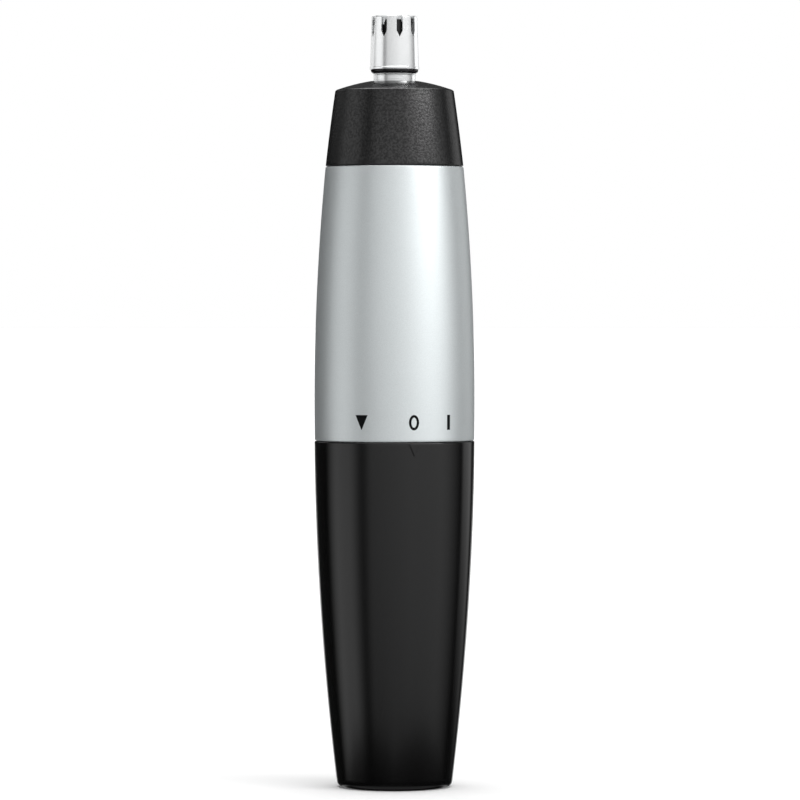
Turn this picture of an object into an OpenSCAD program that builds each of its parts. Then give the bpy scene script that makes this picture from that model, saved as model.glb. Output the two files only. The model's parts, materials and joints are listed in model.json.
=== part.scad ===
// Battery nose hair trimmer with a rotary cutting head, in millimetres.
// The axis of the body is Z, the base stands on z = 0 and the marks for the
// battery cover's three positions face -Y.

/* [Body] */
// Largest diameter of the body
max_d = 27; // [26.8:0.1:28]
// Height of the joint line between battery cover and barrel
seam_z = 58.5; // [58:0.1:59]
// Height of the joint line between barrel and head collar
barrel_top_z = 104.6; // [104.4:0.1:105]
// Height at which the cover's curved side would be widest
cover_wide_z = 61.9; // [61:0.1:63]
// Radius of the arc that the cover's side follows
cover_arc_r = 504; // [480:1:540]
// Height at which the barrel's curved side is widest
barrel_wide_z = 65.3; // [64:0.1:67]
// Radius of the arc that the barrel's side follows
barrel_arc_r = 413; // [400:1:430]
// Wall of the battery cover
cover_wall = 1.5; // [1.3:0.1:1.6]
// Wall of the barrel
barrel_wall = 1.4; // [1.2:0.1:1.5]
// Round at the foot of the cover
foot_round = 1.0; // [0.6:0.1:1.3]
// Gap at each joint line
line_gap = 0.1; // [0.06:0.02:0.16]
// Depth of the small chamfer on each edge at a joint line
edge_chamfer = 0.12; // [0.06:0.02:0.2]

/* [Head] */
// Outer radius of the collar where it meets the barrel
collar_low_r = 11.62; // [11.4:0.02:11.8]
// Outer radius of the collar at its upper edge
collar_high_r = 9.98; // [9.8:0.02:10.2]
// Height of the collar's upper edge
collar_edge_z = 117.5; // [117.3:0.1:117.8]
// How far the collar's side swells beyond a straight cone
collar_swell = 0.06; // [0:0.02:0.12]
// Height of the collar's flat centre, where the neck comes out
collar_crown_z = 119.0; // [118.9:0.05:119.1]
// Outer radius of the steel neck tube
neck_r = 3.54; // [3.5:0.02:3.66]
// Height of the cutting tip
tip_z = 130; // [129.8:0.1:130.4]
// Outer radius of the outer cutter at its lower rim
cutter_low_r = 4.1; // [4:0.02:4.2]
// Outer radius of the outer cutter near its tip
cutter_high_r = 3.84; // [3.76:0.02:3.9]
// Wall of the outer cutter
cutter_wall = 0.35; // [0.3:0.01:0.4]
// Number of hair slots
slot_count = 9; // [6:1:10]
// Width of a hair slot
slot_w = 1.04; // [0.7:0.02:1.1]
// Angle of the first slot from the front, towards +X
slot_turn = 13; // [0:1:40]

/* [Twist switch] */
// Angle of the open position from the front, towards +X
open_turn = -24; // [-26:1:-22]
// Angle of the off position
off_turn = 14; // [12:1:16]
// Angle of the on position
on_turn = 42; // [40:1:44]
// Width of the raised pointer on the cover
pointer_w = 1.9; // [1.8:0.05:2.6]
// Height of the raised pointer
pointer_h = 2.05; // [1.8:0.05:2.8]
// How far the pointer stands proud
pointer_rise = 0.16; // [0.1:0.02:0.24]

/* [Battery] */
// Diameter of the AA cell
cell_d = 14.5; // [14.3:0.1:14.5]
// Length of the AA cell with its button
cell_l = 50.5; // [50:0.1:50.5]
// Length of the cell's button
button_l = 1.3; // [1:0.1:1.5]

/* [Motor] */
// Diameter of the motor can across its round sides
motor_d = 20.1; // [19.8:0.1:20.1]
// Width of the motor can across its flats
motor_flat = 15.1; // [14.8:0.1:15.2]
// Length of the motor can
motor_can_l = 20.4; // [20:0.1:20.6]
// Length of the motor's plastic end bell
bell_l = 4.6; // [4.4:0.1:4.8]
// Diameter of the motor shaft
shaft_d = 2; // [2:0.1:2.2]

/* [Hidden] */
$fn = 96;

max_r = max_d / 2;
side_steps = 30;
front = -90;
eps = 0.01;

// Azimuths from +X of things that turn with the cover or face the switch.
pointer_az = front + off_turn;
on_travel = on_turn - off_turn;
open_travel = open_turn - off_turn;
strip_az = 10;
switch_az = strip_az + on_travel;
motor_az = switch_az;

// Battery cover
cover_top_z = seam_z - line_gap;
floor_t = 1.8;
bore_r = 11.6;
bore_low_z = seam_z - 11.7;
rib_count = 6;
rib_t = 1.1;
rib_in_r = cell_d / 2 + 0.3;
rib_top_z = seam_z - 12.3;
strip_t = 0.3;
strip_w = 3;
strip_in_r = cell_d / 2 + 0.4;
tab_z = seam_z - 11.65;

// Bayonet between the cover's two lugs and the chassis spigot
spigot_r = bore_r - 0.15;
spigot_in_r = 9.3;
spigot_low_z = seam_z - 11;
track_low_z = spigot_low_z + 2.5;
track_high_z = track_low_z + 2.2;
track_in_r = 10.4;
lug_in_r = track_in_r + 0.15;
lug_low_z = track_low_z + 0.15;
lug_high_z = track_high_z - 0.2;
lug_half = 7;
track_play = 1;

// Cell
cell_top_z = seam_z - 1.3;
cell_low_z = cell_top_z - cell_l;
can_top_z = cell_top_z - button_l;
cell_round = 0.6;

// O-rings, as major radius, section radius and height
cover_ring = [bore_r - 0.71, 0.69, seam_z - 2.8];
head_ring = [8.1, 0.58, barrel_top_z + 2.6];

// Chassis and contacts
plate_low_z = seam_z - 0.9;
plate_high_z = seam_z + 0.5;
flange_z = seam_z + 2;
tube_in_r = motor_d / 2 + 0.1;
tube_r = 11;
tube_top_z = 90.5;
ledge_z = seam_z + 3.7;
screw_r = 9.2;
screw_shank_r = 0.8;
screw_len = 7;
boss_r = 1.65;
contact_t = 0.3;
terminal_r = 4.5;
lead_w = 2.6;

// Motor
damper_t = 1.3;
bell_low_z = ledge_z + damper_t;
bell_boss_l = 0.5;
can_low_z = bell_low_z + bell_l;
can_high_z = can_low_z + motor_can_l;
can_t = 0.5;
front_boss_r = 3.05;
front_boss_l = 1.6;
shaft_low_z = bell_low_z - 0.8;
shaft_high_z = 99.2;
magnet_in_r = 6.9;
core_r = 6.5;
core_low_z = can_low_z + 4.2;
core_high_z = core_low_z + 10.5;
commutator_r = 2.3;
commutator_low_z = bell_low_z + 2.6;

// Nose cap
plate_t = 2;
nose_low_z = tube_top_z;
nose_well_r = 5.6;
nose_waist_r = 7.2;
nose_r = 8.6;
nose_in_r = 6.6;
shoulder_z = barrel_top_z - 3;
nose_top_z = barrel_top_z + 5.4;
barrel_lip_t = 1.5;
seal_low_z = nose_low_z + plate_t;
seal_r = 2.6;
seal_h = 1.6;

// Drive from the motor shaft to the cutter
coupling_r = 3.2;
coupling_low_z = seal_low_z + seal_h + 0.6;
coupling_high_z = barrel_top_z + 2.9;
socket_low_z = coupling_high_z - 5;
socket_w = 1.6;
socket_l = 4.8;
tongue_play = 0.1;

// Head
collar_low_z = barrel_top_z + line_gap;
collar_bore_r = nose_r + 0.1;
bore_step_z = barrel_top_z + 7.7;
cavity_r = 8;
cavity_top_z = collar_edge_z - 1.6;
collar_edge_round = 0.28;
crown_r = 4.3;
boss_out_r = 5.2;
retainer_low_z = bore_step_z - 1.4;
tube_flange_z = bore_step_z + 0.9;
neck_in_r = 3.2;
neck_top_z = tip_z - 9.55;
flare_r = 3.64;
waist_low_z = neck_top_z + 0.05;
cutter_low_z = tip_z - 9;
bush_low_z = tube_flange_z + 0.1;
bush_top_z = cutter_low_z + 1;
bush_step_z = 118;
journal_r = 1.6;
slot_tip_z = tip_z - 3.65;
slot_shoulder_z = tip_z - 2.6;
slot_reach_r = 2.3;
stem_body_r = 2.4;
stem_flange_r = 3;
stem_square = 2;
clip_low_z = bush_step_z + 0.25;
clip_t = 0.4;
carrier_low_z = bush_top_z + 1;
carrier_r = 3;
carrier_bore_l = 4;
flute_r = 0.62;
stem_top_z = carrier_low_z + carrier_bore_l - 0.7;
blade_top_z = tip_z - cutter_wall - 0.05;
blade_plate_z = blade_top_z - 0.25;
tooth_low_z = tip_z - 1.5;
tooth_gap_low_w = 1.66;
tooth_gap_high_w = 1.15;
blade_gap = 0.06;
blade_t = 0.3;
blade_count = 6;
blade_turn = 26;

// ---------- shared functions and shapes ----------

// How far an arc of radius r has fallen in at height z from its widest height.
function arc_drop(z, wide_z, r) = r - sqrt(r * r - (z - wide_z) * (z - wide_z));
function cover_side(z) = max_r - arc_drop(z, cover_wide_z, cover_arc_r);
function barrel_side(z) = max_r - arc_drop(z, barrel_wide_z, barrel_arc_r);
function collar_side(z) =
    let (t = (z - collar_low_z) / (collar_edge_z - collar_low_z))
    collar_low_r + (collar_high_r - collar_low_r) * t + 4 * collar_swell * t * (1 - t);
// The outer cutter's side, a slight cone.
function cutter_side(z) =
    cutter_low_r + (cutter_high_r - cutter_low_r) * (z - cutter_low_z) / (tip_z - cutter_low_z);
function steps(a, b, n) = [for (i = [0 : n]) a + (b - a) * i / n];
// Points of a quarter turn of radius r about c, from angle a to angle b.
function bend(c, r, a, b, n = 8) =
    [for (t = steps(a, b, n)) [c[0] + r * cos(t), c[1] + r * sin(t)]];

module disc(r, z0, z1) {
    translate([0, 0, z0]) cylinder(r = r, h = z1 - z0);
}

module ring(r_in, r_out, z0, z1) {
    difference() {
        disc(r_out, z0, z1);
        disc(r_in, z0 - 1, z1 + 1);
    }
}

// Part of a ring, from azimuth a0 to azimuth a1.
module ring_arc(r_in, r_out, z0, z1, a0, a1) {
    rotate([0, 0, a0]) rotate_extrude(angle = a1 - a0)
        translate([r_in, z0]) square([r_out - r_in, z1 - z0]);
}

// A block that reaches from r0 to r1 along azimuth az, w wide.
module spoke(az, r0, r1, w, z0, z1) {
    rotate([0, 0, az]) translate([r0, -w / 2, z0]) cube([r1 - r0, w, z1 - z0]);
}

// A flat outline in (across, height) pushed out along azimuth az from r0 to r1.
module facing(az, r0, r1) {
    rotate([0, 0, az]) translate([r0, 0, 0]) rotate([90, 0, 90])
        linear_extrude(height = r1 - r0) children();
}

module o_ring(ring_size) {
    translate([0, 0, ring_size[2]]) rotate_extrude()
        translate([ring_size[0], 0]) circle(r = ring_size[1], $fn = 32);
}

// A round wire wound from radius r0 at height z0 to radius r1 at height z1.
module coil(r0, r1, z0, z1, turns, wire_r, sides = 8, per_turn = 20) {
    n = turns * per_turn;
    points = [
        for (i = [0 : n], k = [0 : sides - 1])
            let (
                t = i / n,
                a = 360 * turns * t,
                r = r0 + (r1 - r0) * t + wire_r * cos(360 * k / sides),
                z = z0 + (z1 - z0) * t + wire_r * sin(360 * k / sides)
            )
            [r * cos(a), r * sin(a), z]
    ];
    sides_faces = [
        for (i = [0 : n - 1], k = [0 : sides - 1])
            let (k2 = (k + 1) % sides)
            [i * sides + k, i * sides + k2, (i + 1) * sides + k2, (i + 1) * sides + k]
    ];
    start_cap = [[for (k = [sides - 1 : -1 : 0]) k]];
    end_cap = [[for (k = [0 : sides - 1]) n * sides + k]];
    polyhedron(points = points, faces = concat(sides_faces, start_cap, end_cap));
}

// ---------- battery cover ----------

module cover_outline() {
    side = steps(foot_round, cover_top_z - edge_chamfer, side_steps);
    foot_c = [cover_side(foot_round) - foot_round, foot_round];
    polygon(concat(
        [[0, 0]],
        bend(foot_c, foot_round, -90, 0),
        [for (z = side) if (z > foot_round) [cover_side(z), z]],
        [[cover_side(cover_top_z) - edge_chamfer, cover_top_z], [0, cover_top_z]]
    ));
}

module cover_cavity() {
    wall_z = steps(floor_t + 1, bore_low_z - 1, side_steps);
    polygon(concat(
        [[0, floor_t], [cover_side(floor_t) - cover_wall - 0.2, floor_t]],
        [for (z = wall_z) [cover_side(z) - cover_wall, z]],
        [[bore_r, bore_low_z], [bore_r, cover_top_z + 1], [0, cover_top_z + 1]]
    ));
}

module pointer() {
    low_z = cover_top_z - edge_chamfer - pointer_h;
    high_z = cover_top_z - edge_chamfer;
    intersection() {
        rotate_extrude() polygon([
            [cover_side(low_z) - 0.5, low_z], [cover_side(low_z) + pointer_rise, low_z],
            [cover_side(high_z) + pointer_rise, high_z], [cover_side(high_z) - 0.5, high_z]
        ]);
        facing(pointer_az, 0, max_r + 2)
            polygon([[-pointer_w / 2, high_z + 1], [-pointer_w / 2, high_z], [0, low_z],
                     [pointer_w / 2, high_z], [pointer_w / 2, high_z + 1]]);
    }
}

module cover_ribs() {
    for (i = [0 : rib_count - 1]) {
        carries_strip = i == 0;
        rib_r = carries_strip ? strip_in_r + strip_t : rib_in_r;
        intersection() {
            spoke(strip_az + i * 360 / rib_count, rib_r, max_r, rib_t, floor_t - 0.5, rib_top_z);
            rotate_extrude() cover_outline_core();
        }
    }
}

// The cover's solid shape taken in by half its wall, which keeps the ribs inside it.
module cover_outline_core() {
    z_list = steps(floor_t - 0.6, rib_top_z + 1, side_steps);
    polygon(concat(
        [[0, floor_t - 0.6]],
        [for (z = z_list) [cover_side(z) - cover_wall / 2, z]],
        [[0, rib_top_z + 1]]
    ));
}

module battery_cover() {
    color("#1c1c1c") {
        difference() {
            rotate_extrude() cover_outline();
            rotate_extrude() cover_cavity();
        }
        cover_ribs();
        pointer();
        for (turn = [0, 180])
            ring_arc(lug_in_r, bore_r + 0.4, lug_low_z, lug_high_z,
                     pointer_az + turn - lug_half, pointer_az + turn + lug_half);
    }
}

module battery_spring() {
    wire = 0.35;
    color("silver") coil(5.6, 2.6, floor_t + strip_t + wire, cell_low_z - wire - 0.02, 4, wire);
}

module negative_strip() {
    color("goldenrod") {
        // foot under the spring
        disc(6, floor_t, floor_t + strip_t);
        spoke(strip_az, 0, strip_in_r + strip_t, strip_w, floor_t, floor_t + strip_t);
        // leg beside the cell
        spoke(strip_az, strip_in_r, strip_in_r + strip_t, strip_w, floor_t, tab_z + strip_t);
        // tab that the switch contact meets when the cover is turned on
        ring_arc(strip_in_r + 0.05, spigot_r - 0.35, tab_z, tab_z + strip_t,
                 strip_az - 6, strip_az + 6);
    }
}

// ---------- AA cell ----------

module cell_can() {
    r = cell_d / 2;
    color("#3b5b8c") rotate_extrude() polygon(concat(
        [[0, cell_low_z + 0.3], [r - 2.2, cell_low_z + 0.3], [r - 2.5, cell_low_z]],
        bend([r - cell_round, cell_low_z + cell_round], cell_round, -90, 0, 5),
        bend([r - cell_round, can_top_z - cell_round], cell_round, 0, 90, 5),
        [[4.6, can_top_z], [4.4, can_top_z - 0.4], [0, can_top_z - 0.4]]
    ));
}

module cell_washer() {
    color("white") ring(2.9, 4.3, can_top_z - 0.4, can_top_z - 0.15);
}

module cell_button() {
    r = 2.75;
    color("silver") rotate_extrude() polygon(concat(
        [[0, can_top_z - 0.4], [r + 0.1, can_top_z - 0.4], [r + 0.1, can_top_z - 0.2]],
        bend([r - 0.4, cell_top_z - 0.4], 0.4, 0, 90, 4),
        [[0, cell_top_z]]
    ));
}

// ---------- barrel and chassis ----------

module barrel() {
    low_z = seam_z;
    high_z = barrel_top_z;
    side = steps(low_z + edge_chamfer, high_z - edge_chamfer, side_steps);
    inner = steps(high_z - barrel_lip_t, low_z, side_steps);
    color("#b9bec0") rotate_extrude() polygon(concat(
        [[barrel_side(low_z) - edge_chamfer, low_z]],
        [for (z = side) [barrel_side(z), z]],
        [[barrel_side(high_z) - edge_chamfer, high_z], [nose_r + 0.03, high_z],
         [nose_r + 0.03, high_z - barrel_lip_t]],
        [for (z = inner) [barrel_side(z) - barrel_wall, z]]
    ));
}

// The two tracks that the cover's lugs enter from below, between open and off.
module bayonet_tracks() {
    play = lug_half + track_play;
    for (turn = [0, 180]) {
        az = pointer_az + turn;
        ring_arc(track_in_r, spigot_r + 1, track_low_z, track_high_z,
                 az + open_travel - play, az + on_travel + play);
        ring_arc(track_in_r, spigot_r + 1, spigot_low_z - 1, track_high_z,
                 az + open_travel - play, az + play);
    }
}

module chassis() {
    color("#e4e2da") difference() {
        union() {
            ring(spigot_in_r, spigot_r, spigot_low_z, seam_z + eps);
            ring(spigot_in_r, barrel_side(seam_z) - barrel_wall, seam_z, plate_high_z + eps);
            ring(7.5, barrel_side(flange_z) - barrel_wall - 0.02, plate_high_z, flange_z);
            ring(7.5, tube_r, plate_high_z, ledge_z);
            ring(tube_in_r, tube_r, ledge_z - eps, tube_top_z);
            for (i = [0 : 3])
                spoke(switch_az + 45 + 90 * i, cell_d / 2 + 0.35, spigot_in_r + 0.5, 1.1,
                      spigot_low_z, plate_low_z);
            for (turn = [90, 270])
                intersection() {
                    disc(tube_r, tube_top_z - screw_len - 3, tube_top_z);
                    rotate([0, 0, motor_az + turn]) translate([screw_r, 0, 0])
                        disc(boss_r, tube_top_z - screw_len - 3, tube_top_z);
                }
        }
        bayonet_tracks();
        // groove of the cover's O-ring
        ring(cover_ring[0] - cover_ring[1], spigot_r + 1,
             cover_ring[2] - 0.8, cover_ring[2] + 0.8);
        for (turn = [90, 270])
            rotate([0, 0, motor_az + turn]) translate([screw_r, 0, 0])
                disc(screw_shank_r, tube_top_z - screw_len, tube_top_z + 1);
        // way up for the switch contact's leg
        spoke(switch_az, 7, spigot_in_r, lead_w + 0.4, seam_z - 1, ledge_z + eps);
    }
}

module contact_plate() {
    color("#2b2b2b") difference() {
        disc(spigot_in_r - 0.03, plate_low_z, plate_high_z - 0.02);
        disc(1.2, plate_low_z - 1, plate_high_z + 1);
        spoke(switch_az, spigot_in_r - 0.7, spigot_in_r + 1, lead_w + 0.4,
              plate_low_z - 1, plate_high_z + 1);
    }
}

module positive_contact() {
    lead_z = plate_high_z - 0.02;
    color("goldenrod") {
        disc(3.2, cell_top_z + 0.04, plate_low_z);
        disc(1.2, cell_top_z + 0.1, lead_z + contact_t);
        spoke(motor_az + 180, 0, terminal_r + contact_t, lead_w - 0.4, lead_z, lead_z + contact_t);
        spoke(motor_az + 180, terminal_r, terminal_r + contact_t, lead_w - 0.4,
              lead_z, bell_low_z - bell_boss_l - 0.04);
    }
}

module switch_contact() {
    low_z = spigot_low_z - contact_t;
    leg_r = spigot_in_r - contact_t - 0.08;
    bridge_z = ledge_z - 0.9;
    color("goldenrod") {
        ring_arc(leg_r + 0.1, spigot_r - 0.25, low_z, spigot_low_z,
                 switch_az - 7, switch_az + 7);
        spoke(switch_az, leg_r, leg_r + contact_t, lead_w - 0.6, low_z, bridge_z + contact_t);
        spoke(switch_az, terminal_r, leg_r + eps, lead_w - 0.6, bridge_z, bridge_z + contact_t);
        spoke(switch_az, terminal_r, terminal_r + contact_t, lead_w - 0.6,
              bridge_z, bell_low_z - bell_boss_l - 0.04);
    }
}

module cover_o_ring() {
    color("#101010") o_ring(cover_ring);
}

module nose_cap() {
    color("#e4e2da") difference() {
        union() {
            disc(tube_r, nose_low_z, nose_low_z + plate_t);
            disc(nose_waist_r, nose_low_z, shoulder_z + eps);
            disc(barrel_side(barrel_top_z) - barrel_wall - 0.05, shoulder_z,
                 barrel_top_z - barrel_lip_t - 0.02);
            disc(nose_r, shoulder_z, nose_top_z - 0.4);
            translate([0, 0, nose_top_z - 0.4])
                cylinder(r1 = nose_r, r2 = nose_r - 0.4, h = 0.4);
        }
        disc(nose_well_r, seal_low_z + seal_h, shoulder_z + 1);
        disc(nose_in_r, shoulder_z, nose_top_z + 1);
        disc(seal_r, seal_low_z, seal_low_z + seal_h + 1);
        disc(shaft_d / 2 + 0.4, nose_low_z - 1, seal_low_z + 1);
        disc(front_boss_r + 0.1, nose_low_z - 1, nose_low_z + 0.5);
        ring(head_ring[0] - head_ring[1], nose_r + 1, head_ring[2] - 0.7, head_ring[2] + 0.7);
        for (turn = [90, 270])
            rotate([0, 0, motor_az + turn]) translate([screw_r, 0, 0])
                disc(screw_shank_r + 0.1, nose_low_z - 1, nose_low_z + plate_t + 1);
    }
}

module nose_screws() {
    head_z = nose_low_z + plate_t;
    color("silver") for (turn = [90, 270])
        rotate([0, 0, motor_az + turn]) translate([screw_r, 0, 0]) difference() {
            union() {
                disc(screw_shank_r, tube_top_z - screw_len + 0.5, head_z + eps);
                disc(1.5, head_z, head_z + 1.1);
            }
            for (a = [0, 90]) rotate([0, 0, a])
                translate([-1, -0.17, head_z + 0.5]) cube([2, 0.34, 1]);
        }
}

module head_o_ring() {
    color("#101010") o_ring(head_ring);
}

module shaft_seal() {
    color("#101010") ring(shaft_d / 2 + 0.03, seal_r, seal_low_z, seal_low_z + seal_h);
}

// ---------- motor ----------

// The can's outline: a circle with two flats.
module can_outline(inset) {
    intersection() {
        circle(r = motor_d / 2 - inset);
        square([motor_d, motor_flat - 2 * inset], center = true);
    }
}

module motor_can() {
    color("silver") rotate([0, 0, motor_az]) difference() {
        union() {
            translate([0, 0, can_low_z]) linear_extrude(height = motor_can_l) can_outline(0);
            disc(front_boss_r, can_high_z - eps, can_high_z + front_boss_l);
        }
        translate([0, 0, can_low_z - 1])
            linear_extrude(height = motor_can_l - can_t + 1) can_outline(can_t);
        disc(2.2, can_high_z - 1, can_high_z + front_boss_l + 1);
    }
}

module motor_end_bell() {
    color("#d9d3c0") rotate([0, 0, motor_az]) difference() {
        union() {
            translate([0, 0, bell_low_z]) linear_extrude(height = bell_l) can_outline(0);
            disc(5, bell_low_z - bell_boss_l, bell_low_z + eps);
        }
        translate([0, 0, bell_low_z + 1.6]) linear_extrude(height = bell_l) can_outline(1.5);
        disc(2, bell_low_z - 1, bell_low_z + 3);
        for (turn = [0, 180])
            spoke(turn, terminal_r - 0.4, terminal_r, 2, bell_low_z - 1, bell_low_z + 2);
    }
}

module motor_magnets() {
    half = 36;
    color("#4a4a4a") for (turn = [0, 180])
        ring_arc(magnet_in_r, motor_d / 2 - can_t, core_low_z - 0.5, core_high_z + 0.5,
                 motor_az + turn - half, motor_az + turn + half);
}

module motor_front_bearing() {
    color("#b0823a") ring(shaft_d / 2 + 0.02, 2.2, can_high_z - can_t, can_high_z + front_boss_l);
}

module motor_rear_bearing() {
    color("#b0823a") ring(shaft_d / 2 + 0.02, 2, bell_low_z - 0.4, bell_low_z + 1.6);
}

module motor_brushes() {
    brush_z = commutator_low_z + 1;
    color("#b0823a") for (turn = [0, 180])
        spoke(motor_az + turn, commutator_r + 0.03, terminal_r, 1.2, brush_z, brush_z + 1);
}

module motor_terminals() {
    brush_z = commutator_low_z + 1;
    color("goldenrod") for (turn = [0, 180])
        spoke(motor_az + turn, terminal_r - 0.4, terminal_r, 2, bell_low_z - 0.9, brush_z);
}

module motor_damper() {
    color("#202020") ring(7.6, 9.6, ledge_z, bell_low_z);
}

module motor_shaft() {
    color("silver") disc(shaft_d / 2, shaft_low_z, shaft_high_z);
}

module armature_core() {
    color("#6d6d70") difference() {
        union() {
            disc(2.6, core_low_z, core_high_z);
            for (pole = [0 : 2]) {
                spoke(pole * 120, 0, core_r - 0.8, 2, core_low_z, core_high_z);
                ring_arc(core_r - 1.3, core_r, core_low_z, core_high_z,
                         pole * 120 - 48, pole * 120 + 48);
            }
        }
        disc(shaft_d / 2, core_low_z - 1, core_high_z + 1);
    }
}

module armature_coils() {
    over = 1.3;
    side = 1.1;
    color("#a5552a") for (pole = [0 : 2]) rotate([0, 0, pole * 120]) difference() {
        translate([2.9, -1 - side, core_low_z - over])
            cube([1.8, 2 + 2 * side, core_high_z - core_low_z + 2 * over]);
        translate([2.8, -1, core_low_z]) cube([2, 2, core_high_z - core_low_z]);
    }
}

module commutator() {
    color("#b0823a") difference() {
        ring(shaft_d / 2, commutator_r, commutator_low_z, commutator_low_z + 3.2);
        for (gap = [0 : 2])
            spoke(gap * 120 + 60, commutator_r - 0.4, commutator_r + 1, 0.3,
                  commutator_low_z - 1, commutator_low_z + 2.8);
    }
}

module drive_coupling() {
    color("white") difference() {
        disc(coupling_r, coupling_low_z, coupling_high_z);
        disc(shaft_d / 2, coupling_low_z - 1, shaft_high_z);
        rotate([0, 0, slot_turn])
            translate([-socket_l / 2, -socket_w / 2, socket_low_z])
            cube([socket_l, socket_w, coupling_high_z - socket_low_z + 1]);
    }
}

// ---------- cutting head ----------

module head_collar() {
    side = steps(collar_low_z + edge_chamfer, collar_edge_z - collar_edge_round, side_steps);
    edge_c = [collar_side(collar_edge_z) - collar_edge_round, collar_edge_z - collar_edge_round];
    crown = steps(0.12, 1, 8);
    edge_in = [edge_c[0] + collar_edge_round * cos(76), edge_c[1] + collar_edge_round * sin(76)];
    color("#1c1c1c") difference() {
        rotate_extrude() polygon(concat(
            [[collar_bore_r, collar_low_z],
             [collar_side(collar_low_z) - edge_chamfer, collar_low_z]],
            [for (z = side) [collar_side(z), z]],
            bend(edge_c, collar_edge_round, 9, 76, 5),
            // the shallow dome, steeper at its edge than at its crown
            [for (t = crown) [
                edge_in[0] + (crown_r - edge_in[0]) * t,
                edge_in[1] + (collar_crown_z - edge_in[1]) * (1 - (1 - t) * (1 - 0.35 * t))
            ]],
            [[neck_r, collar_crown_z], [neck_r, tube_flange_z + 0.6],
             [boss_out_r, tube_flange_z + 0.6], [boss_out_r, cavity_top_z],
             [cavity_r, cavity_top_z], [cavity_r, bore_step_z], [collar_bore_r, bore_step_z]]
        ));
        // core-out that keeps the wall even beside the bore
        ring(collar_bore_r + 1, collar_low_r - 1.1, collar_low_z - 1, collar_low_z + 3.2);
    }
}

module neck_tube() {
    groove = 0.06;
    flange_top = tube_flange_z + 0.6;
    flare_low_z = neck_top_z - 0.3;
    lines = [collar_crown_z + 0.3, flare_low_z - 0.08];
    color("#c9ccce") difference() {
        rotate_extrude() polygon([
            [neck_in_r, tube_flange_z], [4.7, tube_flange_z], [4.7, flange_top],
            [neck_r, flange_top], [neck_r, flare_low_z], [flare_r, neck_top_z - 0.06],
            [flare_r, neck_top_z], [neck_in_r, neck_top_z]
        ]);
        for (z = lines) ring(neck_r - groove, neck_r + 1, z - 0.05, z + 0.05);
    }
}

module head_bush() {
    color("#0c0c0c") rotate_extrude() polygon([
        [journal_r + 0.05, bush_low_z], [neck_in_r, bush_low_z], [neck_in_r, waist_low_z],
        [flare_r - 0.03, waist_low_z], [flare_r + 0.21, waist_low_z + 0.14],
        [cutter_low_r - 0.12, waist_low_z + 0.36], [cutter_low_r - 0.12, cutter_low_z],
        [cutter_side(cutter_low_z) - cutter_wall - 0.01, cutter_low_z],
        [cutter_side(bush_top_z) - cutter_wall - 0.01, bush_top_z],
        [2.75, bush_top_z], [2.75, bush_step_z], [journal_r + 0.05, bush_step_z]
    ]);
}

module outer_cutter() {
    lip = 0.07;
    round_r = 0.28;
    top_c = [cutter_side(tip_z) - round_r, tip_z - round_r];
    inner_top = tip_z - cutter_wall;
    color("#c9ccce") difference() {
        rotate_extrude() polygon(concat(
            [[cutter_low_r - cutter_wall, cutter_low_z], [cutter_low_r + lip - 0.05, cutter_low_z],
             [cutter_low_r + lip, cutter_low_z + 0.06], [cutter_low_r + lip, cutter_low_z + 0.3],
             [cutter_side(cutter_low_z + 0.42), cutter_low_z + 0.42]],
            bend(top_c, round_r, 0, 90, 6),
            [[1.1, tip_z], [0.8, tip_z - 0.12], [0, tip_z - 0.12],
             [0, inner_top], [cutter_side(inner_top) - cutter_wall, inner_top]]
        ));
        for (i = [0 : slot_count - 1])
            facing(front + slot_turn + i * 360 / slot_count, slot_reach_r, cutter_low_r + 1)
                polygon([[-slot_w / 2, slot_shoulder_z], [0, slot_tip_z],
                         [slot_w / 2, slot_shoulder_z], [slot_w / 2, tip_z + 1],
                         [-slot_w / 2, tip_z + 1]]);
    }
}

module head_retainer() {
    color("#d9d3c0") difference() {
        disc(collar_bore_r - 0.01, retainer_low_z, bore_step_z);
        disc(stem_body_r + 0.08, retainer_low_z - 1, bore_step_z + 1);
        for (i = [0 : 2]) rotate([0, 0, i * 120 + 30]) translate([5.6, 0, 0])
            disc(1.3, retainer_low_z - 1, bore_step_z + 1);
    }
}

module cutter_stem() {
    tongue_low_z = socket_low_z + 0.4;
    body_low_z = coupling_high_z + 0.3;
    color("white") {
        rotate([0, 0, slot_turn])
            translate([-socket_l / 2 + tongue_play, -socket_w / 2 + tongue_play, tongue_low_z])
            cube([socket_l - 2 * tongue_play, socket_w - 2 * tongue_play,
                  body_low_z - tongue_low_z + 0.5]);
        disc(stem_body_r, body_low_z, bore_step_z + 0.1);
        disc(stem_flange_r, bore_step_z + 0.05, bore_step_z + 0.8);
        disc(journal_r, bore_step_z + 0.7, clip_low_z);
        disc(journal_r - 0.3, clip_low_z - eps, clip_low_z + clip_t + eps);
        disc(journal_r, clip_low_z + clip_t, clip_low_z + clip_t + 0.5);
        square_low_z = clip_low_z + clip_t + 0.5 - eps;
        translate([-stem_square / 2, -stem_square / 2, square_low_z])
            cube([stem_square, stem_square, stem_top_z - square_low_z]);
    }
}

module stem_clip() {
    color("silver") difference() {
        ring(journal_r - 0.3, 2.6, clip_low_z, clip_low_z + clip_t);
        spoke(0, 0.6, 4, 1.6, clip_low_z - 1, clip_low_z + clip_t + 1);
    }
}

module cutter_spring() {
    wire = 0.17;
    color("silver")
        coil(2.2, 2.2, clip_low_z + clip_t + wire + 0.02, carrier_low_z - wire - 0.02,
             5, wire, 6, 18);
}

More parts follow.
